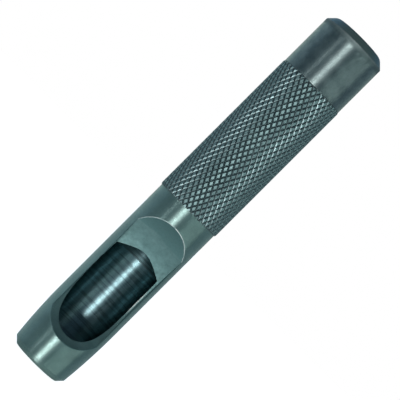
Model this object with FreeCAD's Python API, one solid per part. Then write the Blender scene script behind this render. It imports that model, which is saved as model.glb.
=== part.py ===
import FreeCAD, Part

import math
import os

# Hollow punch: a round steel bar, bored from one end and struck on the other.
# It stands as it works: the cutting edge is down, the striking face is up. The
# origin is the centre of the cutting edge, the axis is +Z, and the chip window
# faces -Y. Units are millimetres and degrees.
#
# The real tool is one bar of steel. It is modelled as the four lengths that are
# machined one after another, and they meet on full flat faces:
#   cutting_tip     bevelled edge, curved nose and the mouth of the bore
#   window_barrel   plain barrel with the blind bore and the milled chip window
#   knurled_grip    the length that the fingers hold
#   striking_head   plain end with a chamfered face for the hammer

# Cutting edge: a thin flat land, then a bevel
cut_diameter = 12.5
edge_land = 0.05
bevel_angle = 44.5

# Bore: true to size behind the edge, then relieved so that the discs pass
mouth_length = 5.0
relief_taper_length = 2.0
bore_relief = 0.45
bore_beyond_window_centre = 6.7
drill_point_angle = 118.0

# Barrel, with a nose that curves down to the bevel without a corner
barrel_wall = 1.8
nose_length = 17.0
nose_drop = 0.82

# Chip window: one plunge of a side milling cutter, its spindle along X
cutter_diameter = 50.0
window_ledge = 0.4
window_floor_height = 0.46
window_setback = 0.83
collar_length = 5.03

# Knurled grip: the knurling raises the diamonds above the barrel
grip_length = 40.2
knurl_rise = 0.28
knurl_runout = 0.35

# Striking end
head_length = 15.7
head_rise = 0.15
head_chamfer = 1.9
head_chamfer_angle = 45.0
head_corner_radius = 0.8
head_shoulder_bevel = 0.12

# Radii that follow
cut_radius = cut_diameter / 2
land_radius = cut_radius + edge_land
bore_radius = cut_radius + bore_relief
barrel_radius = bore_radius + barrel_wall
grip_radius = barrel_radius + knurl_rise
head_radius = barrel_radius + head_rise
bevel_end_radius = barrel_radius - nose_drop
cutter_radius = cutter_diameter / 2

# Heights that follow, from the cutting edge up
bevel_length = (bevel_end_radius - land_radius) / math.tan(math.radians(bevel_angle))
barrel_start = mouth_length + relief_taper_length
cutter_centre_offset = cutter_radius + window_floor_height
window_half_length = math.sqrt(cutter_radius ** 2 - (cutter_centre_offset - barrel_radius) ** 2)
window_centre = barrel_start + window_setback + window_half_length
bore_depth = window_centre + bore_beyond_window_centre
grip_start = window_centre + window_half_length + collar_length
head_start = grip_start + grip_length
total_length = head_start + head_length

# The nose is an arc that is tangent to the barrel
nose_run = nose_length - bevel_length
nose_curve_radius = (nose_run ** 2 + nose_drop ** 2) / (2 * nose_drop)

AXIS_POINT = FreeCAD.Vector(0, 0, 0)
AXIS = FreeCAD.Vector(0, 0, 1)
BEYOND = 1.0


def point(radius, height):
    """A point of a turned profile, in the XZ plane beside the axis."""
    return FreeCAD.Vector(radius, 0, height)


def line(start, end):
    return Part.LineSegment(start, end).toShape()


def polyline(points):
    """Straight edges that join the points in a closed loop."""
    return [line(a, b) for a, b in zip(points, points[1:] + points[:1])]


def turned(edges):
    """Closes the profile's edges into a face and turns it round the axis."""
    face = Part.Face(Part.Wire(edges))
    return face.revolve(AXIS_POINT, AXIS, 360)


def nose_radius(height):
    """Outside radius of the nose and the barrel at this height."""
    below = max(nose_length - height, 0)
    return barrel_radius - nose_curve_radius + math.sqrt(nose_curve_radius ** 2 - below ** 2)


def nose_arc(low, high):
    middle = (low + high) / 2
    on_nose = [point(nose_radius(height), height) for height in (low, middle, high)]
    return Part.Arc(*on_nose).toShape()


def bore_tool():
    """What the drill and the reamer take out: mouth, relief taper, bore and drill point."""
    point_length = bore_radius / math.tan(math.radians(drill_point_angle / 2))
    return turned(polyline([
        point(0, -BEYOND),
        point(cut_radius, -BEYOND),
        point(cut_radius, mouth_length),
        point(bore_radius, barrel_start),
        point(bore_radius, bore_depth),
        point(0, bore_depth + point_length),
    ]))


def window_cutter():
    """The milling cutter at the bottom of its plunge, as wide as the bore and two ledges."""
    half_width = bore_radius + window_ledge
    corner = FreeCAD.Vector(-half_width, -cutter_centre_offset, window_centre)
    return Part.makeCylinder(cutter_radius, 2 * half_width, corner, FreeCAD.Vector(1, 0, 0))


def make_cutting_tip():
    land_corner = point(land_radius, 0)
    bevel_end = point(bevel_end_radius, bevel_length)
    top_corner = point(nose_radius(barrel_start), barrel_start)
    blank = turned([
        line(point(0, 0), land_corner),
        line(land_corner, bevel_end),
        nose_arc(bevel_length, barrel_start),
        line(top_corner, point(0, barrel_start)),
        line(point(0, barrel_start), point(0, 0)),
    ])
    return blank.cut(bore_tool())


def make_window_barrel():
    bottom_corner = point(nose_radius(barrel_start), barrel_start)
    blank = turned([
        line(point(0, barrel_start), bottom_corner),
        nose_arc(barrel_start, nose_length),
        line(point(barrel_radius, nose_length), point(barrel_radius, grip_start)),
        line(point(barrel_radius, grip_start), point(0, grip_start)),
        line(point(0, grip_start), point(0, barrel_start)),
    ])
    return blank.cut(bore_tool()).cut(window_cutter())


def make_knurled_grip():
    return turned(polyline([
        point(0, grip_start),
        point(barrel_radius, grip_start),
        point(grip_radius, grip_start + knurl_runout),
        point(grip_radius, head_start - knurl_runout),
        point(barrel_radius, head_start),
        point(0, head_start),
    ]))


def make_striking_head():
    slope = math.radians(head_chamfer_angle)
    chamfer_start = total_length - head_chamfer / math.tan(slope)
    face_radius = head_radius - head_chamfer
    corner_turn = math.pi / 2 - slope
    setback = head_corner_radius * math.tan(corner_turn / 2)
    on_chamfer = point(
        face_radius + setback * math.sin(slope),
        total_length - setback * math.cos(slope),
    )
    on_face = point(face_radius - setback, total_length)
    corner_middle = point(
        face_radius - setback + head_corner_radius * math.sin(corner_turn / 2),
        total_length - head_corner_radius + head_corner_radius * math.cos(corner_turn / 2),
    )
    shoulder = point(head_radius - head_shoulder_bevel, head_start)
    band_start = point(head_radius, head_start + head_shoulder_bevel)
    return turned([
        line(point(0, head_start), shoulder),
        line(shoulder, band_start),
        line(band_start, point(head_radius, chamfer_start)),
        line(point(head_radius, chamfer_start), on_chamfer),
        Part.Arc(on_chamfer, corner_middle, on_face).toShape(),
        line(on_face, point(0, total_length)),
        line(point(0, total_length), point(0, head_start)),
    ])


def main():
    os.makedirs("parts", exist_ok=True)
    nodes = {
        "cutting_tip": make_cutting_tip(),
        "window_barrel": make_window_barrel(),
        "knurled_grip": make_knurled_grip(),
        "striking_head": make_striking_head(),
    }
    for name, shape in nodes.items():
        shape.exportStep(os.path.join("parts", name + ".step"))
        box = shape.BoundBox
        print(
            f"{name}: {len(shape.Solids)} solid, {shape.Volume:.1f} mm3, valid {shape.isValid()}, "
            f"z {box.ZMin:.2f} to {box.ZMax:.2f}"
        )


main()
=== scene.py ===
# %% [markdown]
# A hollow punch cuts round discs out of leather, card or sheet. It is one bar of steel: turned on a
# lathe, bored from the cutting end, opened by one plunge of a milling cutter so that the discs fall
# out, knurled where the fingers hold it, and blackened. It stands on its cutting edge here, with the
# axis along Z and the chip window facing -Y.
#
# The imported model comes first, because every surface below has to stay within it. Its four lengths
# of the bar are read by name, and their heights are the only places that this script needs.

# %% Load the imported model
import math

import bmesh
import bpy
import numpy as np
from mathutils import Matrix, Vector


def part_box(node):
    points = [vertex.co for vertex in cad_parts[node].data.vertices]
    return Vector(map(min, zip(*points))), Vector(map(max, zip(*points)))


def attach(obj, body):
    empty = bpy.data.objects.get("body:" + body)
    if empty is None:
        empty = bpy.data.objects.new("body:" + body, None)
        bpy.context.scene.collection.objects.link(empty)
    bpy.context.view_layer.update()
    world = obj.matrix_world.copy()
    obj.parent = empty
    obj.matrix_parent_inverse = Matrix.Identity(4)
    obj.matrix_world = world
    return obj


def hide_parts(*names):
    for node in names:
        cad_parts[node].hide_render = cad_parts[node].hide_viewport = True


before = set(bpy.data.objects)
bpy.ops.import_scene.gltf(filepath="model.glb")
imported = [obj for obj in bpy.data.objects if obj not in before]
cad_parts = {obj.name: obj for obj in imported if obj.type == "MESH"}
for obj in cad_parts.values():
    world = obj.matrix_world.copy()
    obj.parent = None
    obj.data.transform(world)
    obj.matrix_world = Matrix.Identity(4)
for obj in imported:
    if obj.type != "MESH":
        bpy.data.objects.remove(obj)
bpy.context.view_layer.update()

MM = 0.001
barrel_low, barrel_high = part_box("window_barrel")
grip_low, grip_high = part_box("knurled_grip")
head_low, head_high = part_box("striking_head")
barrel_start = barrel_low.z / MM
grip_start = grip_low.z / MM
head_start = head_low.z / MM
total_length = head_high.z / MM
print("heights of the joints in mm:", round(barrel_start, 2), round(grip_start, 2),
      round(head_start, 2), round(total_length, 2))

# %% [markdown]
# Every surface is worked out in millimetres, because that is how a maker thinks of this tool, and
# is turned into metres only when it becomes a mesh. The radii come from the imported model's boxes,
# and the sizes of the bore and the milling cutter are written here once.

# %% Sizes in millimetres
land_radius = 6.30
cut_radius = 6.25
mouth_length = 5.0
bore_radius = 6.7
bore_beyond_window_centre = 6.7
drill_half_angle = math.radians(59)
barrel_radius = barrel_high.x / MM
grip_radius = grip_high.x / MM
head_radius = head_high.x / MM
nose_length = 17.0
nose_drop = 0.82
bevel_slope = math.tan(math.radians(44.5))
cutter_radius = 25.0
window_ledge = 0.4
slot_half_width = bore_radius + window_ledge
floor_height = 0.46
window_setback = 0.83
cutter_height = cutter_radius + floor_height
window_half_length = math.sqrt(cutter_radius ** 2 - (cutter_height - barrel_radius) ** 2)
window_centre = barrel_start + window_setback + window_half_length
bore_depth = window_centre + bore_beyond_window_centre
bevel_end_radius = barrel_radius - nose_drop
bevel_length = (bevel_end_radius - land_radius) / bevel_slope
nose_run = nose_length - bevel_length
nose_curve = (nose_run ** 2 + nose_drop ** 2) / (2 * nose_drop)
cone_tip = bore_depth + bore_radius / math.tan(drill_half_angle)
print("barrel, grip and head radius:", round(barrel_radius, 3), round(grip_radius, 3),
      round(head_radius, 3))
print("window centre", round(window_centre, 2), "and end of the drill point", round(cone_tip, 2))

# %% [markdown]
# A surface in this file is a grid of points: rows run up the tool, columns run round it. Two
# neighbouring rows and columns make one four-sided face, so the whole mesh follows from the shape of
# the array. Grids that share an edge are welded into one closed skin. This is why neighbouring
# grids use the same rows.
#
# One row of faces may have another finish than the next, because one bar carries turned, bored and
# drilled stretches side by side. A piece also stores masks, one number at each point, which tell a
# material where an edge is rubbed or a groove is dirty. Where a grid has creases that run slantwise,
# as a knurl has, each face is cut into two triangles along the crease.

# %% Grids to meshes
WELD = 2e-6
SHARP = math.radians(32)


def grid_quads(rows, columns, first):
    """Corner numbers of each face: point, next column, next row and column, next row."""
    index = np.arange(rows * columns).reshape(rows, columns) + first
    corners = [index[:-1, :-1], index[:-1, 1:], index[1:, 1:], index[1:, :-1]]
    return np.stack(corners, axis=-1).reshape(-1, 4)


def split_on_creases(quads, columns):
    """Two triangles for each face, cut along the diagonal that joins its two even points."""
    row, column = np.divmod(np.arange(len(quads)), columns - 1)
    odd = ((row + column) % 2 == 1)[:, None]
    first = np.where(odd, quads[:, [0, 1, 3]], quads[:, [0, 1, 2]])
    second = np.where(odd, quads[:, [1, 2, 3]], quads[:, [0, 2, 3]])
    return np.concatenate([first, second])


def around(radius, angle, height):
    """Points at a radius and angle about the axis; angle 0 faces the window, along -Y."""
    radius, angle, height = np.broadcast_arrays(radius, angle, height)
    return np.stack([radius * np.sin(angle), -radius * np.cos(angle), height], axis=-1)


MASKS = ("edge", "top", "ramp_shade", "matted")


def make_piece(name, patches, materials):
    """One closed mesh from patches of (points, material number, masks by name), welded together.

    The material number may be a list with one for each row of faces. A patch whose masks hold
    "creased" is made of triangles.
    """
    mesh = bpy.data.meshes.new(name)
    counts = [points.shape[0] * points.shape[1] for points, _, _ in patches]
    firsts = np.cumsum([0] + counts[:-1])
    points = np.concatenate([patch[0].reshape(-1, 3) for patch in patches]) * MM
    quads = [grid_quads(*patch[0].shape[:2], first) for patch, first in zip(patches, firsts)]
    slots, faces = [], []
    for own, (grid, number, masks) in zip(quads, patches):
        shape = (grid.shape[0] - 1, grid.shape[1] - 1)
        slot = np.broadcast_to(np.reshape(number, (-1, 1)), shape).ravel()
        if "creased" in masks:
            own = split_on_creases(own, grid.shape[1])
            slot = np.concatenate([slot, slot])
        slots.append(slot)
        faces += own.tolist()
    slots = np.concatenate(slots)
    mesh.from_pydata(points, [], faces)
    mesh.polygons.foreach_set("material_index", slots.astype(np.int32))
    for mask in MASKS:
        values = [np.broadcast_to(masks.get(mask, 0.0), grid.shape[:2]).ravel()
                  for grid, _, masks in patches]
        layer = mesh.attributes.new(mask, "FLOAT", "POINT")
        layer.data.foreach_set("value", np.concatenate(values).astype(np.float32))
    shell = bmesh.new()
    shell.from_mesh(mesh)
    bmesh.ops.remove_doubles(shell, verts=shell.verts, dist=WELD)
    bmesh.ops.dissolve_degenerate(shell, edges=shell.edges, dist=WELD)
    bmesh.ops.recalc_face_normals(shell, faces=shell.faces)
    open_edges = sum(not edge.is_manifold for edge in shell.edges)
    volume = shell.calc_volume(signed=True)
    shell.to_mesh(mesh)
    shell.free()
    mesh.shade_smooth()
    mesh.set_sharp_from_angle(angle=SHARP)
    piece = bpy.data.objects.new(name, mesh)
    bpy.context.scene.collection.objects.link(piece)
    for material in materials:
        mesh.materials.append(material)
    triangles = sum(len(face.vertices) - 2 for face in mesh.polygons)
    print(f"{name}: {triangles} triangles, {open_edges} open edges, {volume * 1e9:.0f} mm3")
    return piece


def rounded_profile(corners, radii, steps=5):
    """Profile through (radius, height) corners, each rounded by an arc of its own radius."""
    path = [np.array(corners[0], float)[None, :]]
    for before, corner, after, radius in zip(corners[:-2], corners[1:-1], corners[2:], radii):
        corner = np.array(corner, float)
        to_before = (np.array(before) - corner) / np.linalg.norm(np.array(before) - corner)
        to_after = (np.array(after) - corner) / np.linalg.norm(np.array(after) - corner)
        half_angle = math.acos(np.clip(to_before @ to_after, -1, 1)) / 2
        if radius == 0 or half_angle > math.radians(89):
            path.append(corner[None, :])
            continue
        towards = (to_before + to_after) / np.linalg.norm(to_before + to_after)
        centre = corner + towards * radius / math.sin(half_angle)
        start = corner + to_before * radius / math.tan(half_angle) - centre
        end = corner + to_after * radius / math.tan(half_angle) - centre
        turn = math.atan2(start[0] * end[1] - start[1] * end[0], start @ end)
        angle = np.linspace(0, turn, steps)[:, None]
        sideways = np.array([-start[1], start[0]])
        path.append(centre + start * np.cos(angle) + sideways * np.sin(angle))
    path.append(np.array(corners[-1], float)[None, :])
    return np.concatenate(path)


def closer_spaced(profile, step):
    """The same profile with points added, so that no straight run is longer than the step."""
    runs = np.linalg.norm(np.diff(profile, axis=0), axis=1)
    reach = np.concatenate([[0], np.cumsum(runs)])
    marks = np.union1d(reach, np.arange(0, reach[-1], step))
    marks = marks[np.concatenate([[True], np.diff(marks) > 1e-6])]
    return np.column_stack([np.interp(marks, reach, places) for places in profile.T])


def turned_patch(profile, columns=160):
    """A profile of (radius, height) points carried once round the axis."""
    angle = np.linspace(0, 2 * math.pi, columns + 1)[None, :]
    return around(profile[:, :1], angle, profile[:, 1:])


# %% [markdown]
# Bare steel and black oxide look very different, yet both are the same metal. The finish here is a
# metal whose own colour is dark and slightly green-blue. Fine turning lines run round it, so a lamp
# spreads out along the axis and stays narrow across it, which gives turned bars their long streak.
# The lines alone would need a bump finer than a picture shows, so the shader is anisotropic: its
# anisotropy stands for the lines that are too fine, and the bump for those that can be seen.
#
# Three effects are used by more than one finish, so each is a node group: lines left by the tool,
# patches in the oxide, and corners where the black has rubbed off, whose mask also paints glints.

# %% Node group: lines left by the tool
RING_SWAY = 60.0


def new_group(name, inputs, outputs):
    """An empty shader group with the sockets asked for; returns it and its two end nodes."""
    group = bpy.data.node_groups.new(name, "ShaderNodeTree")
    for socket, kind, value in inputs:
        made = group.interface.new_socket(socket, in_out="INPUT", socket_type=kind)
        made.default_value = value
    for socket, kind in outputs:
        group.interface.new_socket(socket, in_out="OUTPUT", socket_type=kind)
    return group, group.nodes.new("NodeGroupInput"), group.nodes.new("NodeGroupOutput")


def noise_node(tree, scale=5.0, detail=2.0, roughness=0.5):
    node = tree.nodes.new("ShaderNodeTexNoise")
    node.inputs["Scale"].default_value = scale
    node.inputs["Detail"].default_value = detail
    node.inputs["Roughness"].default_value = roughness
    return node


def math_node(tree, operation, first=None, second=None, clamp=False):
    """A Math node; each input is a number or an output socket."""
    node = tree.nodes.new("ShaderNodeMath")
    node.operation = operation
    node.use_clamp = clamp
    for slot, value in enumerate((first, second)):
        if isinstance(value, (int, float)):
            node.inputs[slot].default_value = value
        elif value is not None:
            tree.links.new(value, node.inputs[slot])
    return node.outputs[0]


def spread(tree, value, low, high, out_low=0.0, out_high=1.0):
    """Maps a value from one range to another, kept within it."""
    node = tree.nodes.new("ShaderNodeMapRange")
    names = ("From Min", "From Max", "To Min", "To Max")
    for name, number in zip(names, (low, high, out_low, out_high)):
        node.inputs[name].default_value = number
    tree.links.new(value, node.inputs["Value"])
    return node.outputs["Result"]


def tool_lines_group():
    """Height of rings round the axis: noise that is stretched round the bar and tight along it."""
    group, start, end = new_group(
        "tool_lines",
        [("Ring Scale", "NodeSocketFloat", 6000.0), ("Scratch Scale", "NodeSocketFloat", 900.0)],
        [("Height", "NodeSocketFloat"), ("Scratch", "NodeSocketFloat")],
    )
    place = group.nodes.new("ShaderNodeTexCoord").outputs["Object"]
    apart = group.nodes.new("ShaderNodeSeparateXYZ")
    group.links.new(place, apart.inputs[0])
    along = math_node(group, "MULTIPLY", apart.outputs["Z"], start.outputs["Ring Scale"])
    gather = group.nodes.new("ShaderNodeCombineXYZ")
    sway_x = math_node(group, "MULTIPLY", apart.outputs["X"], RING_SWAY)
    sway_y = math_node(group, "MULTIPLY", apart.outputs["Y"], RING_SWAY)
    group.links.new(sway_x, gather.inputs["X"])
    group.links.new(sway_y, gather.inputs["Y"])
    group.links.new(along, gather.inputs["Z"])
    rings = noise_node(group, 1.0, 3.0, 0.6)
    group.links.new(gather.outputs[0], rings.inputs["Vector"])
    scratches = noise_node(group, 1.0, 4.0, 0.7)
    group.links.new(place, scratches.inputs["Vector"])
    group.links.new(start.outputs["Scratch Scale"], scratches.inputs["Scale"])
    group.links.new(rings.outputs["Fac"], end.inputs["Height"])
    group.links.new(scratches.outputs["Fac"], end.inputs["Scratch"])
    return group


TOOL_LINES = tool_lines_group()
print("group sockets:", [item.name for item in TOOL_LINES.interface.items_tree])

# %% Node group: patches in the oxide
def oxide_group():
    """A mask of soft patches, from a broad noise and a fine speckle."""
    group, start, end = new_group(
        "oxide_patches",
        [("Patch Scale", "NodeSocketFloat", 260.0), ("Speckle Scale", "NodeSocketFloat", 5200.0)],
        [("Patch", "NodeSocketFloat"), ("Speckle", "NodeSocketFloat")],
    )
    place = group.nodes.new("ShaderNodeTexCoord").outputs["Object"]
    for output, low, high in (("Patch", 0.35, 0.65), ("Speckle", 0.4, 0.75)):
        noise = noise_node(group, 1.0, 3.0, 0.55)
        group.links.new(place, noise.inputs["Vector"])
        group.links.new(start.outputs[output + " Scale"], noise.inputs["Scale"])
        group.links.new(spread(group, noise.outputs["Fac"], low, high), end.inputs[output])
    return group


OXIDE = oxide_group()
print("noises in the oxide:", sum(node.type == "TEX_NOISE" for node in OXIDE.nodes))

# %% Node group: rubbed corners and painted glints
def wear_and_glint_group():
    """Bare steel for rubbed corners and painted glints: the mesh's edge mask, broken up by noise."""
    group, start, end = new_group(
        "wear_and_glint_corners",
        [("Edge", "NodeSocketFloat", 0.0), ("Amount", "NodeSocketFloat", 0.5),
         ("Break Scale", "NodeSocketFloat", 900.0)],
        [("Mask", "NodeSocketFloat")],
    )
    place = group.nodes.new("ShaderNodeTexCoord").outputs["Object"]
    noise = noise_node(group, 1.0, 4.0, 0.65)
    group.links.new(place, noise.inputs["Vector"])
    group.links.new(start.outputs["Break Scale"], noise.inputs["Scale"])
    broken = spread(group, noise.outputs["Fac"], 0.3, 0.7, 0.25, 1.0)
    wear_and_glint_mask = math_node(group, "MULTIPLY", start.outputs["Edge"], broken)
    mask = math_node(group, "MULTIPLY", wear_and_glint_mask, start.outputs["Amount"], clamp=True)
    group.links.new(mask, end.inputs["Mask"])
    return group


WEAR_AND_GLINT = wear_and_glint_group()
print("groups:", [group.name for group in bpy.data.node_groups])

# %% [markdown]
# One function makes every finish of this bar, and each finish is a call with its own numbers:
#
# - turned and struck steel have fine rings and a strong streak, and the struck head is darker;
# - ground steel, on the whetted edge and the head's chamfer, scatters light almost evenly;
# - milled steel, in the window, is matt, with painted shade on the upper ramp of its floor;
# - bored and drilled steel have coarse rings, with black oxide left in the low ones; the drill point
#   is darker, with more oxide in its rings, and this is partly painted shade;
# - the knurl's flanks are darker than its flat tops, partly painted shade and painted highlight, and
#   the bottoms of the grooves carry painted shade.
#
# Small functions then add what only one finish has. Each reads a mask from the mesh and changes one
# socket, so the function that all finishes share stays short.

# %% Colours of the oxide
def srgb(red, green, blue):
    """Linear colour of a shade written as 0 to 255."""
    shade = np.array([red, green, blue]) / 255
    return (*np.where(shade <= 0.04045, shade / 12.92, ((shade + 0.055) / 1.055) ** 2.4), 1.0)


# Bare steel: the colour of rubbed corners, and also of painted glints on the window's edges.
BARE_STEEL_AND_GLINT = srgb(150, 165, 166)
OXIDE_IOR = 2.6
OXIDE_TINT = (0.75, 0.92, 0.90, 1.0)
GROOVE_OXIDE = srgb(26, 38, 42)
# Painted shade for the bottoms of the knurl's grooves.
GROOVE_SHADE = srgb(31, 45, 49)
# Painted shade for the upper ramp of the milled floor.
RAMP_SHADE_COLOUR = srgb(52, 84, 86)
SPECKLE_HEIGHT = 0.004
MATTED_ROUGHNESS = 0.95
print("bare steel, linear:", [round(float(part), 3) for part in BARE_STEEL_AND_GLINT[:3]])

# %% One function for every finish
def group_node(tree, group, **values):
    node = tree.nodes.new("ShaderNodeGroup")
    node.node_tree = group
    for name, value in values.items():
        node.inputs[name.replace("_", " ")].default_value = value
    return node


def mixed_colour(tree, mask, first, second):
    """A colour mix; each colour is a constant or an output socket."""
    node = tree.nodes.new("ShaderNodeMix")
    node.data_type = "RGBA"
    tree.links.new(mask, node.inputs["Factor"])
    for socket, value in ((node.inputs[6], first), (node.inputs[7], second)):
        if isinstance(value, tuple):
            socket.default_value = value
        else:
            tree.links.new(value, socket)
    return node.outputs[2]


def steel(name, dark, light, roughness, ring_scale, ring_depth, amount=0.2, anisotropy=0.97,
          metal=0.7, ring_shade=0.0, rough_low=0.85, rough_high=1.2, patch_scale=230.0,
          scratch_scale=1100.0):
    """Blackened steel, from the oxide's two shades and the height in mm of the tool's lines."""
    material = bpy.data.materials.new(name)
    material.use_nodes = True
    tree = material.node_tree
    shader = tree.nodes["Principled BSDF"]
    shader.inputs["Metallic"].default_value = metal
    shader.inputs["IOR"].default_value = OXIDE_IOR
    shader.inputs["Specular Tint"].default_value = OXIDE_TINT
    shader.inputs["Anisotropic"].default_value = anisotropy
    shader.inputs["Anisotropic Rotation"].default_value = 0.25
    lines = group_node(tree, TOOL_LINES, Ring_Scale=ring_scale, Scratch_Scale=scratch_scale)
    oxide = group_node(tree, OXIDE, Patch_Scale=patch_scale, Speckle_Scale=4200.0)
    edge = tree.nodes.new("ShaderNodeAttribute")
    edge.attribute_name = "edge"
    # The edge mask mixes in bare steel: rubbed wear on corners, painted glints on the window.
    wear_and_glint_node = group_node(tree, WEAR_AND_GLINT, Amount=amount, Break_Scale=1500.0)
    tree.links.new(edge.outputs["Fac"], wear_and_glint_node.inputs["Edge"])
    oxide_colour = mixed_colour(tree, oxide.outputs["Patch"], dark, light)
    if ring_shade > 0:
        in_ring = spread(tree, lines.outputs["Height"], 0.40, 0.52, ring_shade, 0.0)
        oxide_colour = mixed_colour(tree, in_ring, oxide_colour, GROOVE_OXIDE)
    colour = mixed_colour(tree, wear_and_glint_node.outputs["Mask"], oxide_colour, BARE_STEEL_AND_GLINT)
    tree.links.new(colour, shader.inputs["Base Color"])
    rough = spread(tree, lines.outputs["Scratch"], 0.3, 0.7,
                   roughness * rough_low, roughness * rough_high)
    tree.links.new(rough, shader.inputs["Roughness"])
    speckle = math_node(tree, "MULTIPLY", oxide.outputs["Speckle"], SPECKLE_HEIGHT / ring_depth)
    height = math_node(tree, "ADD", lines.outputs["Height"], speckle)
    bump = tree.nodes.new("ShaderNodeBump")
    bump.inputs["Strength"].default_value = 1.0
    bump.inputs["Distance"].default_value = ring_depth * MM
    tree.links.new(height, bump.inputs["Height"])
    tree.links.new(bump.outputs["Normal"], shader.inputs["Normal"])
    return material


# %% What only one finish has
def painted_ramp_shade(material):
    """A milled face painted darker above a bowed line on its upper ramp: a painted shade."""
    tree = material.node_tree
    shader = tree.nodes["Principled BSDF"]
    bright = shader.inputs["Base Color"].links[0].from_socket
    zone = tree.nodes.new("ShaderNodeAttribute")
    zone.attribute_name = "ramp_shade"
    ramp_shaded_colour = mixed_colour(tree, zone.outputs["Fac"], bright, RAMP_SHADE_COLOUR)
    tree.links.new(ramp_shaded_colour, shader.inputs["Base Color"])
    return material


def knurled(material):
    """Painted shade in the grooves of a knurl, darkening them by the mesh's own mask of tops."""
    tree = material.node_tree
    shader = tree.nodes["Principled BSDF"]
    bright = shader.inputs["Base Color"].links[0].from_socket
    top = tree.nodes.new("ShaderNodeAttribute")
    top.attribute_name = "top"
    mask = spread(tree, top.outputs["Fac"], 0.0, 0.55)
    tree.links.new(mixed_colour(tree, mask, GROOVE_SHADE, bright), shader.inputs["Base Color"])
    return material


def matted(material):
    """A finish that grows dull by the mesh's own mask, where hammer blows have matted the rim."""
    tree = material.node_tree
    shader = tree.nodes["Principled BSDF"]
    fresh = shader.inputs["Roughness"].links[0].from_socket
    zone = tree.nodes.new("ShaderNodeAttribute")
    zone.attribute_name = "matted"
    dull = spread(tree, zone.outputs["Fac"], 0.0, 1.0, 0.0, MATTED_ROUGHNESS)
    tree.links.new(math_node(tree, "MAXIMUM", fresh, dull), shader.inputs["Roughness"])
    return material


# %% The eight finishes
turned_steel = steel("turned_steel", srgb(57, 86, 85), srgb(67, 97, 96), 0.44, 7000.0, 0.0060,
                     rough_low=0.75, rough_high=1.35, scratch_scale=2600.0)
struck_steel = matted(steel("struck_steel", srgb(42, 62, 66), srgb(63, 83, 85), 0.44, 7000.0,
                            0.0060, rough_low=0.75, rough_high=1.35, patch_scale=420.0,
                            scratch_scale=2600.0))
ground_steel = steel("ground_steel", srgb(52, 77, 77), srgb(60, 85, 85), 0.55, 7000.0, 0.0020,
                     anisotropy=0.3)
milled_steel = painted_ramp_shade(steel("milled_steel", srgb(53, 83, 85), srgb(63, 93, 95), 0.64, 2500.0,
                           0.0015, amount=0.65, anisotropy=0.0, metal=0.9))
bored_steel = steel("bored_steel", srgb(90, 120, 126), srgb(100, 131, 137), 0.34, 1300.0, 0.05,
                    metal=1.0, ring_shade=0.4, rough_low=0.85, rough_high=2.2, scratch_scale=5000.0)
# The drill point's darker colour and stronger ring darkening are partly painted shade.
drilled_steel = steel("drilled_steel", srgb(66, 88, 92), srgb(74, 97, 101), 0.50, 2200.0, 0.05,
                      metal=1.0, anisotropy=0.8, ring_shade=0.8, scratch_scale=5000.0)
# Flanks darker and tops lighter than the turned bar: partly painted shade and painted highlight.
flank_steel = knurled(steel("flank_steel", srgb(42, 64, 68), srgb(52, 74, 78), 0.46, 3000.0, 0.0012,
                            anisotropy=0.0, metal=0.85, patch_scale=600.0))
top_steel = steel("knurled_top_steel", srgb(64, 92, 95), srgb(78, 107, 109), 0.56, 5000.0, 0.0060,
                  anisotropy=0.6, metal=0.8, patch_scale=900.0)
print("finishes:", [m.name for m in bpy.data.materials if m.use_nodes and "steel" in m.name])

# %% [markdown]
# The cutting tip is a ring: a land a hair wide, a bevel that wedges the leather apart, and a nose
# that curves out to the barrel. Inside, the mouth is true to size, and then opens so that a cut disc
# doesn't jam. Its section is a closed loop, so one profile carried round the axis makes all of it.
# The lowest half millimetre or so has been whetted, so it is ground steel and breaks the streak.

# %% The cutting tip
def nose_radius(height):
    """Outside radius of nose and barrel: an arc below nose_length, tangent to the barrel there."""
    below = np.maximum(nose_length - np.asarray(height, float), 0)
    return barrel_radius - nose_curve + np.sqrt(nose_curve ** 2 - below ** 2)


WHETTED = 0.6
EDGE_CHAMFER = 0.02
MOUTH_ROUNDING = 0.6
BEVEL_ROUNDING = 0.12
BEVEL_RUN = 0.9
ROW_STEP = 0.12
BEVEL_WEAR = 0.3
BEVEL_WEAR_WIDTH = 0.2


def tip_profile():
    """The ring's section: from the joint down the bore to the edge, then up the outside."""
    edge = (cut_radius + EDGE_CHAMFER, 0.0)
    inner = rounded_profile([(bore_radius, barrel_start), (cut_radius, mouth_length),
                             (cut_radius, EDGE_CHAMFER), edge], [MOUTH_ROUNDING, 0.0])
    past_bevel = bevel_length + BEVEL_RUN
    outer = rounded_profile([edge, (land_radius, 0.0), (bevel_end_radius, bevel_length),
                             (float(nose_radius(past_bevel)), past_bevel)],
                            [EDGE_CHAMFER, BEVEL_ROUNDING])
    heights = np.linspace(past_bevel + 0.2, barrel_start, 14)
    nose = np.column_stack([nose_radius(heights), heights])
    return inner, np.concatenate([outer[1:], nose])


def edge_mask(profile, places, width):
    """1 at the given (radius, height) places, fading to 0 over the width along the profile."""
    gaps = np.linalg.norm(profile[:, None, :] - np.array(places)[None, :, :], axis=-1).min(axis=1)
    return np.clip(1 - gaps / width, 0, 1)[:, None]


tip_inner, tip_outer = (closer_spaced(profile, ROW_STEP) for profile in tip_profile())
tip_back = np.array([[float(nose_radius(barrel_start)), barrel_start], [bore_radius, barrel_start]])
tip_edges = [(bevel_end_radius, bevel_length)]
bevel_rows = np.where(tip_outer[:-1, 1] < WHETTED - 0.01, 2, 0)
bevel_wear = BEVEL_WEAR * edge_mask(tip_outer, tip_edges, BEVEL_WEAR_WIDTH)
cutting_tip = make_piece("cutting_tip_ring", [
    (turned_patch(tip_inner), 1, {}),
    (turned_patch(tip_outer), bevel_rows, {"edge": bevel_wear}),
    (turned_patch(tip_back), 0, {}),
], [turned_steel, bored_steel, ground_steel])
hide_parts("cutting_tip")
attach(cutting_tip, "root")

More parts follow.
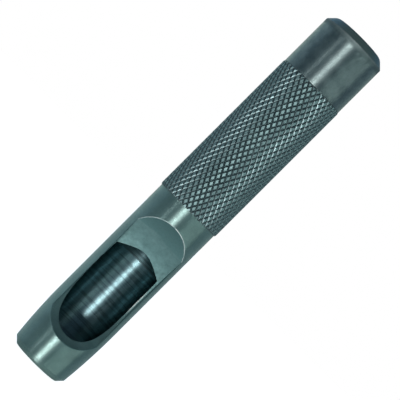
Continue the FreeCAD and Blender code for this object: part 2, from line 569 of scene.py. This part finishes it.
# %% [markdown]
# The window is what a maker would call a plunge cut: a disc cutter with its spindle across the tool
# goes straight in and out. It leaves a floor that is part of a cylinder, two flat side walls, and an
# outline where those meet the round barrel. A Boolean would cut this too, but it leaves long thin
# faces that shade badly. Here each row is one slice across the tool, and the slice's corners are
# worked out: where the skin ends, where the wall ends, where the floor ends and the bore begins.

# %% Slices across the window
EDGE_BREAK = 0.08


def bisect(function, low, high, steps=50):
    """Where an increasing or decreasing function crosses zero, by halving; works on whole arrays."""
    low, high = np.broadcast_arrays(np.array(low, float), np.array(high, float))
    low, high = low.copy(), high.copy()
    rising = function(high) > function(low)
    for _ in range(steps):
        middle = (low + high) / 2
        above = (function(middle) > 0) == rising
        high = np.where(above, middle, high)
        low = np.where(above, low, middle)
    return (low + high) / 2


def floor_at(height, extra=0.0):
    """Height of the window's floor above the axis, towards -Y: the cutter's circle, grown by extra."""
    across = np.asarray(height, float) - window_centre
    inside = (cutter_radius + extra) ** 2 - across ** 2
    return np.where(inside > 0, cutter_height - np.sqrt(np.maximum(inside, 0)), 2 * cutter_height)


def bore_at(height):
    """Radius of the bore, then of the drill point."""
    cone = (cone_tip - np.asarray(height, float)) * math.tan(drill_half_angle)
    return np.clip(np.minimum(bore_radius, cone), 0, bore_radius)


def window_half_angle(radius, height, extra=0.0):
    """Half the angle that the cut takes out of a circle of this radius, in the slice at this height."""
    by_wall = np.arcsin(np.clip((slot_half_width + extra) / radius, -1, 1))
    by_floor = np.arccos(np.clip(floor_at(height, extra) / radius, -1, 1))
    return np.minimum(by_wall, by_floor)


def crossing(function, low, high):
    return float(bisect(function, low, high))


def wall_gap(height, inset=0.0, extra=0.0):
    """Above zero where the slice has a side wall and not only a floor."""
    radius = nose_radius(height) - inset
    reach = np.sqrt(radius ** 2 - np.minimum(floor_at(height, extra), radius) ** 2)
    return reach - slot_half_width - extra


key_heights = [
    crossing(lambda z: floor_at(z, EDGE_BREAK) - nose_radius(z), barrel_start, window_centre),
    crossing(lambda z: floor_at(z) - nose_radius(z) + EDGE_BREAK, barrel_start, window_centre),
    crossing(lambda z: floor_at(z) - bore_radius, barrel_start, window_centre),
    crossing(lambda z: wall_gap(z, 0, EDGE_BREAK), barrel_start, window_centre),
    crossing(lambda z: wall_gap(z, EDGE_BREAK), barrel_start, window_centre),
    crossing(lambda z: wall_gap(z, EDGE_BREAK), window_centre, grip_start),
    crossing(lambda z: wall_gap(z, 0, EDGE_BREAK), window_centre, grip_start),
    crossing(lambda z: floor_at(z) - nose_radius(z) + EDGE_BREAK, window_centre, grip_start),
    crossing(lambda z: floor_at(z, EDGE_BREAK) - nose_radius(z), window_centre, grip_start),
    crossing(lambda z: floor_at(z) - bore_at(z), bore_depth, cone_tip - 0.01),
    bore_depth, cone_tip, nose_length, window_centre, barrel_start, grip_start,
]
window_low, window_high = key_heights[0], key_heights[8]
print("window from", round(window_low, 2), "to", round(window_high, 2), "mm above the edge")

# %% Rows of the barrel
ROW_GAP = 0.012


def gathered(low, high, count, ends):
    """Heights from low to high that crowd towards the low end, the high end or both."""
    t = np.linspace(0, 1, count)
    shape = {"low": t ** 2, "high": 1 - (1 - t) ** 2, "both": (1 - np.cos(math.pi * t)) / 2}[ends]
    return low + (high - low) * shape


def barrel_rows():
    """All slice heights: crowded where the outline turns, with each key height hit exactly."""
    keys = np.unique(np.round(key_heights, 6))
    rows = np.concatenate([
        np.linspace(barrel_start, window_low, 5),
        gathered(window_low, window_centre, 70, "low"),
        gathered(window_centre, window_high, 70, "high"),
        gathered(bore_depth, cone_tip, 12, "high"),
        np.linspace(window_high, grip_start, 6),
    ])
    far = np.abs(rows[:, None] - keys[None, :]).min(axis=1) > ROW_GAP
    return np.unique(np.round(np.concatenate([keys, rows[far]]), 6))


rows = barrel_rows()
print("slices in the barrel:", len(rows))

# %% Corners of each slice
def slice_corners(height):
    """The (across, above) corners of each slice, in order from the skin's edge to the bore's."""
    radius = nose_radius(height)
    floor = floor_at(height)
    skin_angle = window_half_angle(radius, height, EDGE_BREAK)
    sharp_angle = window_half_angle(radius, height)
    top_angle = window_half_angle(radius - EDGE_BREAK, height)

    def short_of_break(above):
        into_floor = np.hypot(above - cutter_height, height - window_centre) - cutter_radius
        return radius - above + into_floor - EDGE_BREAK

    nick = bisect(short_of_break, radius - EDGE_BREAK, radius)
    cut = skin_angle > 1e-9
    open_top = top_angle > 1e-9
    skin = np.stack([radius * np.sin(skin_angle), radius * np.cos(skin_angle)], axis=-1)
    corner = np.stack([radius * np.sin(sharp_angle), radius * np.cos(sharp_angle)], axis=-1)
    inner = radius - EDGE_BREAK
    top = np.stack([inner * np.sin(top_angle), inner * np.cos(top_angle)], axis=-1)
    closed = np.stack([np.zeros_like(radius), np.where(cut, nick, radius)], axis=-1)
    top = np.where(open_top[:, None], top, closed)
    walled = open_top & (top[:, 0] > slot_half_width - 1e-6) & (top[:, 1] > floor + 1e-6)
    at_wall = np.stack([np.full_like(floor, slot_half_width), floor], axis=-1)
    foot = np.where(walled[:, None], at_wall, top)
    bore = bore_at(height)
    through = open_top & (floor < bore)
    reach = np.sqrt(np.maximum(bore ** 2 - floor ** 2, 0))
    bore_edge = np.stack([np.where(through, reach, 0.0), floor], axis=-1)
    bore_edge = np.where(open_top[:, None], bore_edge, closed)
    return skin_angle, skin, corner, top, foot, bore_edge


skin_angle, skin, corner, top, foot, bore_edge = slice_corners(rows)


def strip(start, end, share):
    """Straight lines from start to end in each slice, divided by the shares."""
    return start[:, None, :] * (1 - share[None, :, None]) + end[:, None, :] * share[None, :, None]


def curve(start, control, end, share):
    """The same, but bent towards a control point: a quadratic curve."""
    t = share[None, :, None]
    start, control, end = start[:, None, :], control[:, None, :], end[:, None, :]
    return start * (1 - t) ** 2 + 2 * control * t * (1 - t) + end * t ** 2


def on_side(flat, side):
    """Slice points (across, above) placed on the +X or -X side of the window."""
    height = np.broadcast_to(rows[:, None], flat.shape[:2])
    return np.stack([side * flat[..., 0], -flat[..., 1], height], axis=-1)


# %% [markdown]
# The skin of the barrel and the wall of the bore are both circles with the window's share left out,
# so both use the same columns. They can then be joined by a ring of faces at the front, and no edge
# stays open. Near the outline the first columns stand close together, so that the rounding of the
# edge shades as a small radius and doesn't smear over the large faces beside it.
#
# Three masks on the same grids paint light and shade. The arc at the window's upper end is painted
# with bare steel, partly rubbed wear and partly a painted highlight, more so on the +X side. A painted
# glint runs for a few millimetres on the +X side, where the bore meets the ledge. The top of the
# milled floor is painted darker above a slightly bowed line, a painted shade.

# %% The window barrel
COLUMNS = 132
NEAR = 0.0032
# Painted shade: the milled floor is painted darker above a bowed line at this height.
SHADE_LINE_HEIGHT = 40.1
SHADE_LINE_BOW = 0.6
SHADE_LINE_SIDE = -2.0
SHADE_LINE_SPAN = 2.5
SHADE_LINE_FADE = 0.3
# The window's upper arc is painted bare: partly rubbed wear, partly a painted highlight, more on +X.
ARC_WEAR_AND_GLINT = {1: 1.7, -1: 0.9}
ARC_FADE = 0.5
# A painted glint: bare steel on the +X ledge for a few millimetres, standing in for a highlight.
LEDGE_GLINT = {1: 2.0, -1: 0.0}
LEDGE_GLINT_MIDDLE = 26.0
LEDGE_GLINT_REACH = 3.5
inner_columns = np.linspace(0, 1, COLUMNS + 1)[1:-1]
columns = np.concatenate([[0, NEAR], inner_columns, [1 - NEAR, 1]])


def open_circle(radius, half_angle, height):
    """Circles with the window's angle left out, one per slice."""
    angle = half_angle[:, None] + columns[None, :] * (2 * math.pi - 2 * half_angle[:, None])
    return around(radius[:, None], angle, height[:, None])


def barrel_patches():
    """Skin, bore and end faces, and on each side of the window its rounding, wall and floor."""
    skin_patch = open_circle(nose_radius(rows), skin_angle, rows)
    near_edge = np.where((columns < 1e-6) | (columns > 1 - 1e-6), 1.0, 0.0)
    # The upper arc's mask: rubbed wear and a painted highlight together.
    arc_wear_and_glint = np.clip((rows - key_heights[5]) / ARC_FADE, 0, 1) * (skin_angle > 1e-6)
    skin_mask = near_edge[None, :] * arc_wear_and_glint[:, None]
    # How far the ledge's painted glint reaches up and down the window.
    ledge_glint = np.clip(1 - np.abs(rows - LEDGE_GLINT_MIDDLE) / LEDGE_GLINT_REACH, 0, 1) ** 0.5
    bored = rows <= cone_tip + 1e-6
    bore_rows = rows[bored]
    above_axis = floor_at(bore_rows) / np.maximum(bore_at(bore_rows), 1e-9)
    bore_angle = np.arccos(np.clip(above_axis, -1, 1))
    bore_patch = open_circle(bore_at(bore_rows), bore_angle, bore_rows)
    bore_slots = np.where(bore_rows[:-1] > bore_depth - 1e-6, 3, 2)
    front = np.stack([skin_patch[0], bore_patch[0]])
    centre = np.zeros_like(skin_patch[-1]) + np.array([0, 0, grip_start])
    back = np.stack([skin_patch[-1], centre])
    patches = [(skin_patch, 0, {"edge": skin_mask}), (bore_patch, bore_slots, {}),
               (front, 0, {}), (back, 0, {})]
    for side in (1, -1):
        rounding = on_side(curve(skin, corner, top, np.linspace(0, 1, 5)), side)
        wall = on_side(strip(top, foot, np.array([0, 0.03, 0.35, 0.7, 1])), side)
        floor = on_side(strip(foot, bore_edge, np.array([0, 0.04, 0.2, 0.4, 0.6, 0.8, 1])), side)
        floor_wear_and_glint = np.zeros(floor.shape[:2])
        # The arc's wear and painted highlight on the rounding and on the floor's first column.
        arc_share = ARC_WEAR_AND_GLINT[side] * arc_wear_and_glint
        floor_wear_and_glint[:, 0] = arc_share
        # The painted glint on the +X ledge, on the floor's columns next to the bore.
        floor_wear_and_glint[:, -3:] = (LEDGE_GLINT[side] * ledge_glint)[:, None]
        wear_and_glint_mask = np.broadcast_to(arc_share[:, None], rounding.shape[:2])
        # Painted shade on the floor's upper ramp, above a slightly bowed line.
        bow = SHADE_LINE_BOW * np.exp(-((floor[..., 0] - SHADE_LINE_SIDE) / SHADE_LINE_SPAN) ** 2)
        ramp_shade_zone = np.clip((floor[..., 2] - SHADE_LINE_HEIGHT - bow) / SHADE_LINE_FADE, 0, 1)
        patches += [(rounding, 1, {"edge": wear_and_glint_mask}), (wall, 1, {}),
                    (floor, 1, {"edge": floor_wear_and_glint, "ramp_shade": ramp_shade_zone})]
    return patches


window_barrel = make_piece("window_barrel_shell", barrel_patches(),
                           [turned_steel, milled_steel, bored_steel, drilled_steel])
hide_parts("window_barrel")
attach(window_barrel, "root")

# %% [markdown]
# A diamond knurl is rolled, not cut: two hardened wheels with slanted teeth press crossing grooves
# into the bar, and the steel between them rises into diamonds. One groove family climbs to the left
# and one to the right. If u and v count the grooves of each family, a point's depth only depends on
# how near u or v is to a whole number.
#
# The grid is lined up with the grooves, and moved a little so that one of its lines runs along each
# groove's edge. Cut into triangles on the creases, it gives straight flanks and flat tops with few
# faces. The tops keep the turned bar's finish, so they get a material of their own, lighter in colour
# partly as a painted highlight, while the darker flanks are partly painted shade. A knurl ends
# abruptly: the last row falls by only a third of the rise, and its diamonds stand ragged there.

# %% The knurled grip
TEETH = 42
AXIAL_TEETH = 17.5
SHARE = 8
GROOVE_HALF_WIDTH = 0.23
GROOVE_DEPTH = 0.215
RUNOUT = 0.15
END_SHARE = 0.65
PRESSURE = 0.90
PRESSURE_SWAY = 0.05


def groove_distance(count):
    """Distance to the nearest whole number: 0 in a groove, 0.5 in the middle of a diamond."""
    return np.abs(count - np.round(count))


def drawn_to_edges(count):
    """Eighths of a groove count, moved so that the quarter lies exactly on the groove's edge."""
    whole = np.round(count)
    edge = GROOVE_HALF_WIDTH
    moved = np.interp(np.abs(count - whole), [0, 1 / 8, 1 / 4, 3 / 8, 1 / 2],
                      [0, edge / 2, edge, (edge + 0.5) / 2, 0.5])
    return whole + np.sign(count - whole) * moved


def knurl_surface():
    """Points of the grip, and how far each has risen from a groove's bottom (0) to a flat top (1).

    The radius is the crest less the groove's depth, where the flank rises in a straight line over
    half the groove's width. The depth sways slowly round and along, as the pressure of rolling does.
    """
    length = head_start - grip_start
    row = np.arange(int(AXIAL_TEETH * SHARE) + 1)[:, None]
    column = np.arange(TEETH * SHARE + 1)[None, :]
    rising = drawn_to_edges((column + row) / SHARE)
    falling = drawn_to_edges((column - row) / SHARE)
    angle = (rising + falling) / 2 * 2 * math.pi / TEETH
    height = (rising - falling) / 2 * length / AXIAL_TEETH
    nearest = np.minimum(groove_distance(rising), groove_distance(falling))
    rise = np.clip(nearest / GROOVE_HALF_WIDTH, 0, 1)
    sway = np.sin(3 * angle + 0.21 * height) + np.sin(2 * angle - 0.37 * height)
    depth = GROOVE_DEPTH * (PRESSURE + PRESSURE_SWAY * sway)
    from_end = np.clip(np.minimum(height, length - height) / RUNOUT, 0, 1)
    full = END_SHARE + (1 - END_SHARE) * from_end
    radius = barrel_radius + (grip_radius - barrel_radius - depth * (1 - rise)) * full
    return around(radius, angle, grip_start + height), rise


def give_tops(piece, number):
    """Faces that lie wholly on the flat tops get the material with this number."""
    mesh = piece.data
    corners = np.empty(len(mesh.loops), np.int32)
    mesh.loops.foreach_get("vertex_index", corners)
    starts = np.empty(len(mesh.polygons), np.int32)
    mesh.polygons.foreach_get("loop_start", starts)
    tops = np.empty(len(mesh.vertices), np.float32)
    mesh.attributes["top"].data.foreach_get("value", tops)
    lowest = np.minimum.reduceat(tops[corners], starts)
    mesh.polygons.foreach_set("material_index", np.where(lowest > 0.99, number, 0).astype(np.int32))
    return int((lowest > 0.99).sum())


grip_points, grip_tops = knurl_surface()
grip_caps = [np.stack([grip_points[end], np.zeros_like(grip_points[end]) + np.array([0, 0, height])])
             for end, height in ((0, grip_start), (-1, head_start))]
knurled_grip = make_piece("knurled_grip_sleeve", [
    (grip_points, 0, {"top": grip_tops, "creased": True}),
    (grip_caps[0], 0, {}),
    (grip_caps[1], 0, {}),
], [flank_steel, top_steel])
print("faces on flat tops:", give_tops(knurled_grip, 1))
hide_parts("knurled_grip")
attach(knurled_grip, "root")

# %% [markdown]
# The striking end is plain, with a chamfer all round so that hammer blows don't chip its rim. It is
# one profile that starts and ends on the axis, turned once round. The chamfer is ground. The band
# just below it has been matted by blows, so its mask grows there and the streak fades out.

# %% The striking head
CHAMFER = 1.9
SHOULDER_BREAK = 0.12
HEAD_ROUNDINGS = [0.0, 0.05, 0.4, 1.8]
MATTED_WIDTH = 2.1
MATTED_FADE = 1.5
HEAD_WEAR_WIDTH = 0.4
chamfer_start = total_length - CHAMFER
head_edges = [(head_radius, chamfer_start), (head_radius - CHAMFER, total_length)]
head_corners = [(0.0, head_start), (head_radius - SHOULDER_BREAK, head_start),
                (head_radius, head_start + SHOULDER_BREAK), *head_edges, (0.0, total_length)]
head_profile = closer_spaced(rounded_profile(head_corners, HEAD_ROUNDINGS, 9), 0.2)
row_starts = head_profile[:-1, 1]
on_chamfer = (row_starts > chamfer_start + 0.05) & (row_starts < total_length - 1e-4)
rim = np.clip((head_profile[:, 1:] - (chamfer_start - MATTED_WIDTH)) / MATTED_FADE, 0, 1)
head_wear = edge_mask(head_profile, head_edges, HEAD_WEAR_WIDTH)
striking_head = make_piece("striking_head_block", [
    (turned_patch(head_profile), np.where(on_chamfer, 1, 0), {"edge": head_wear, "matted": rim}),
], [struck_steel, ground_steel])
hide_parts("striking_head")
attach(striking_head, "root")

# %% [markdown]
# The stage is a pale floor and a room. The camera sees the room as white. Metal shows what stands
# round it, so to everything but the camera the room is what this tool needs to mirror: dim and
# bluish in front, with bright walls at the back on both sides, which light the bar's two rims. The
# floor glows for the camera, so that it reads as white, and about a quarter as much in mirrors. Its
# own colour still takes the lamps' light and the tool's soft shadow.

# %% Floor
FLOOR_SIZE = 6.0
FLOOR_SHADE = (0.92, 0.92, 0.92, 1.0)
FLOOR_GLOW = 0.82
MIRRORED_SHARE = 0.28


def stage_material():
    """Matt and pale, with a glow that cameras see whole and mirrors and glass see in part."""
    material = bpy.data.materials.new("pale_floor")
    material.use_nodes = True
    tree = material.node_tree
    shader = tree.nodes["Principled BSDF"]
    shader.inputs["Base Color"].default_value = FLOOR_SHADE
    shader.inputs["Roughness"].default_value = 0.9
    shader.inputs["Specular IOR Level"].default_value = 0.1
    rays = tree.nodes.new("ShaderNodeLightPath")
    glossy, through = rays.outputs["Is Glossy Ray"], rays.outputs["Is Transmission Ray"]
    mirrored = math_node(tree, "MAXIMUM", glossy, through)
    mirrored = math_node(tree, "MULTIPLY", mirrored, MIRRORED_SHARE)
    seen = math_node(tree, "MAXIMUM", rays.outputs["Is Camera Ray"], mirrored)
    shader.inputs["Emission Color"].default_value = (1, 1, 1, 1)
    tree.links.new(math_node(tree, "MULTIPLY", seen, FLOOR_GLOW), shader.inputs["Emission Strength"])
    return material


floor_mesh = bpy.data.meshes.new("floor")
half = FLOOR_SIZE / 2
floor_corners = [(-half, -half, 0), (half, -half, 0), (half, half, 0), (-half, half, 0)]
floor_mesh.from_pydata(floor_corners, [], [(0, 1, 2, 3)])
floor_mesh.materials.append(stage_material())
floor = bpy.data.objects.new("floor", floor_mesh)
bpy.context.scene.collection.objects.link(floor)
print("floor side in m:", FLOOR_SIZE)

# %% Room
WALL_SHADE = (0.98, 1.0, 0.92, 1.0)
FRONT_SHADE = (0.62, 0.76, 0.86, 1.0)
SKY_SHADE = (0.45, 0.80, 1.50, 1.0)
WHITE = (1.0, 1.0, 1.0, 1.0)
LEFT_WALL = 1.55
RIGHT_WALL = 0.62
LOW_CEILING = 0.18
HIGH_CEILING = 0.17
ZENITH = 0.07


def room_light():
    """Background that cameras see as white, and metal as a room.

    Its brightness is a dim ceiling that is the same all round, plus a wall where Y - X is large,
    a weaker one where Y + X is large, and a little more straight above. It turns bluish in front
    and half-way up.
    """
    world = bpy.data.worlds.new("white_room")
    world.use_nodes = True
    tree = world.node_tree
    apart = tree.nodes.new("ShaderNodeSeparateXYZ")
    direction = tree.nodes.new("ShaderNodeTexCoord").outputs["Generated"]
    tree.links.new(direction, apart.inputs[0])
    back_left = math_node(tree, "SUBTRACT", apart.outputs["Y"], apart.outputs["X"])
    back_right = math_node(tree, "ADD", apart.outputs["Y"], apart.outputs["X"])
    left_wall = spread(tree, back_left, 0.85, 1.40, 0.0, LEFT_WALL)
    right_wall = spread(tree, back_right, 0.85, 1.40, 0.0, RIGHT_WALL)
    ceiling = spread(tree, apart.outputs["Z"], 0.10, 0.80, LOW_CEILING, HIGH_CEILING)
    zenith = spread(tree, apart.outputs["Z"], 0.60, 0.85)
    overhead = math_node(tree, "ADD", ceiling, math_node(tree, "MULTIPLY", zenith, ZENITH))
    level = math_node(tree, "ADD", math_node(tree, "ADD", left_wall, right_wall), overhead)
    rays = tree.nodes.new("ShaderNodeLightPath")
    strength = math_node(tree, "MAXIMUM", level, rays.outputs["Is Camera Ray"])
    background = tree.nodes["Background"]
    in_front = spread(tree, apart.outputs["Y"], 0.3, -0.3)
    high = math_node(tree, "SUBTRACT", spread(tree, apart.outputs["Z"], 0.20, 0.60), zenith)
    low_colour = mixed_colour(tree, in_front, WALL_SHADE, FRONT_SHADE)
    room_colour = mixed_colour(tree, high, low_colour, SKY_SHADE)
    shown = mixed_colour(tree, rays.outputs["Is Camera Ray"], room_colour, WHITE)
    tree.links.new(shown, background.inputs["Color"])
    tree.links.new(strength, background.inputs["Strength"])
    return world


bpy.context.scene.world = room_light()
print("room:", bpy.context.scene.world.name)

# %% [markdown]
# The camera looks square at the axis from about half a metre, through a long lens, and is rolled by
# 45 degrees so that the tool runs from the lower left to the upper right. It stands five degrees to
# one side of the window, so the window looks slightly to the lower right.

# %% Camera
IMAGE_SIZE = 400
SCALE = 0.231
FOCAL_PIXELS = 2400
TURN = math.radians(-5.2)
AIM_HEIGHT = 53.15
AIM_SIDE = 0.34
towards_camera = Vector((math.sin(TURN), -math.cos(TURN), 0))
side = Vector((math.cos(TURN), math.sin(TURN), 0))
axis = Vector((0, 0, 1))
picture_axis = (0.70749, 0.70672)
right = picture_axis[0] * axis + picture_axis[1] * side
up = picture_axis[1] * axis - picture_axis[0] * side
distance = FOCAL_PIXELS * SCALE * MM
aim = axis * AIM_HEIGHT * MM + side * AIM_SIDE * MM
camera_data = bpy.data.cameras.new("camera")
camera_data.sensor_width = 36.0
camera_data.lens = FOCAL_PIXELS / IMAGE_SIZE * camera_data.sensor_width
camera_data.clip_start = 0.01
camera_data.clip_end = 20.0
camera = bpy.data.objects.new("camera", camera_data)
turn = Matrix((right, up, towards_camera)).transposed()
camera.matrix_world = Matrix.Translation(aim + towards_camera * distance) @ turn.to_4x4()
bpy.context.scene.collection.objects.link(camera)
bpy.context.scene.camera = camera
print("camera distance in m:", round(distance, 4), "lens:", round(camera_data.lens, 1))

# %% [markdown]
# Round metal shows its lamps as streaks, so each lamp is placed by the streak that it makes. A lamp
# at some angle from the camera is mirrored by the skin that faces half that angle.
#
# The main streak runs on inside the bore, and starts there a little above the window's lower end.
# Only a small lamp that stands low and shines upwards can do that. It is lower than the floor, as
# in a light table, so the floor is set to throw no shadow. A thin lamp on the left makes the fine
# line beside the streak, and a broad soft panel lights the right-hand side.

# %% Lamps
LAMP_DISTANCE = 0.75
LAMP_TARGET = axis * 50 * MM


def soft_lamp(name, azimuth, elevation, width, height, brightness, colour=(1, 1, 1)):
    """An area lamp that faces the tool.

    Azimuth and elevation are degrees from the camera and from level, width and height are the
    angles that it fills, and brightness is set against white paper.
    """
    across = 2 * LAMP_DISTANCE * math.tan(math.radians(width) / 2)
    along = 2 * LAMP_DISTANCE * math.tan(math.radians(height) / 2)
    light = bpy.data.lights.new(name, "AREA")
    light.shape = "RECTANGLE"
    light.size = across
    light.size_y = along
    light.energy = brightness * math.pi * across * along
    light.color = colour
    light.cycles.use_multiple_importance_sampling = False
    lamp = bpy.data.objects.new(name, light)
    turn_by = TURN + math.radians(azimuth)
    rise = math.radians(elevation)
    level = Vector((math.cos(turn_by), math.sin(turn_by), 0))
    front = Vector((math.sin(turn_by), -math.cos(turn_by), 0))
    outwards = front * math.cos(rise) + axis * math.sin(rise)
    lamp_turn = Matrix((level, outwards.cross(level), outwards)).transposed()
    lamp.matrix_world = Matrix.Translation(LAMP_TARGET + outwards * LAMP_DISTANCE) @ lamp_turn.to_4x4()
    lamp.visible_camera = False
    bpy.context.scene.collection.objects.link(lamp)
    return lamp


soft_lamp("streak_lamp", -5.5, -26.0, 12.0, 8.0, 200.0, (1.0, 0.86, 0.82))
soft_lamp("edge_lamp", -39.0, 2.0, 4.0, 26.0, 15.5, (1.0, 0.88, 0.86))
soft_lamp("side_panel", 58.0, -5.0, 64.0, 60.0, 1.6, (1.0, 1.0, 0.90))
floor.visible_shadow = False

# %% View settings
bpy.context.scene.view_settings.view_transform = "Standard"
bpy.context.view_layer.update()
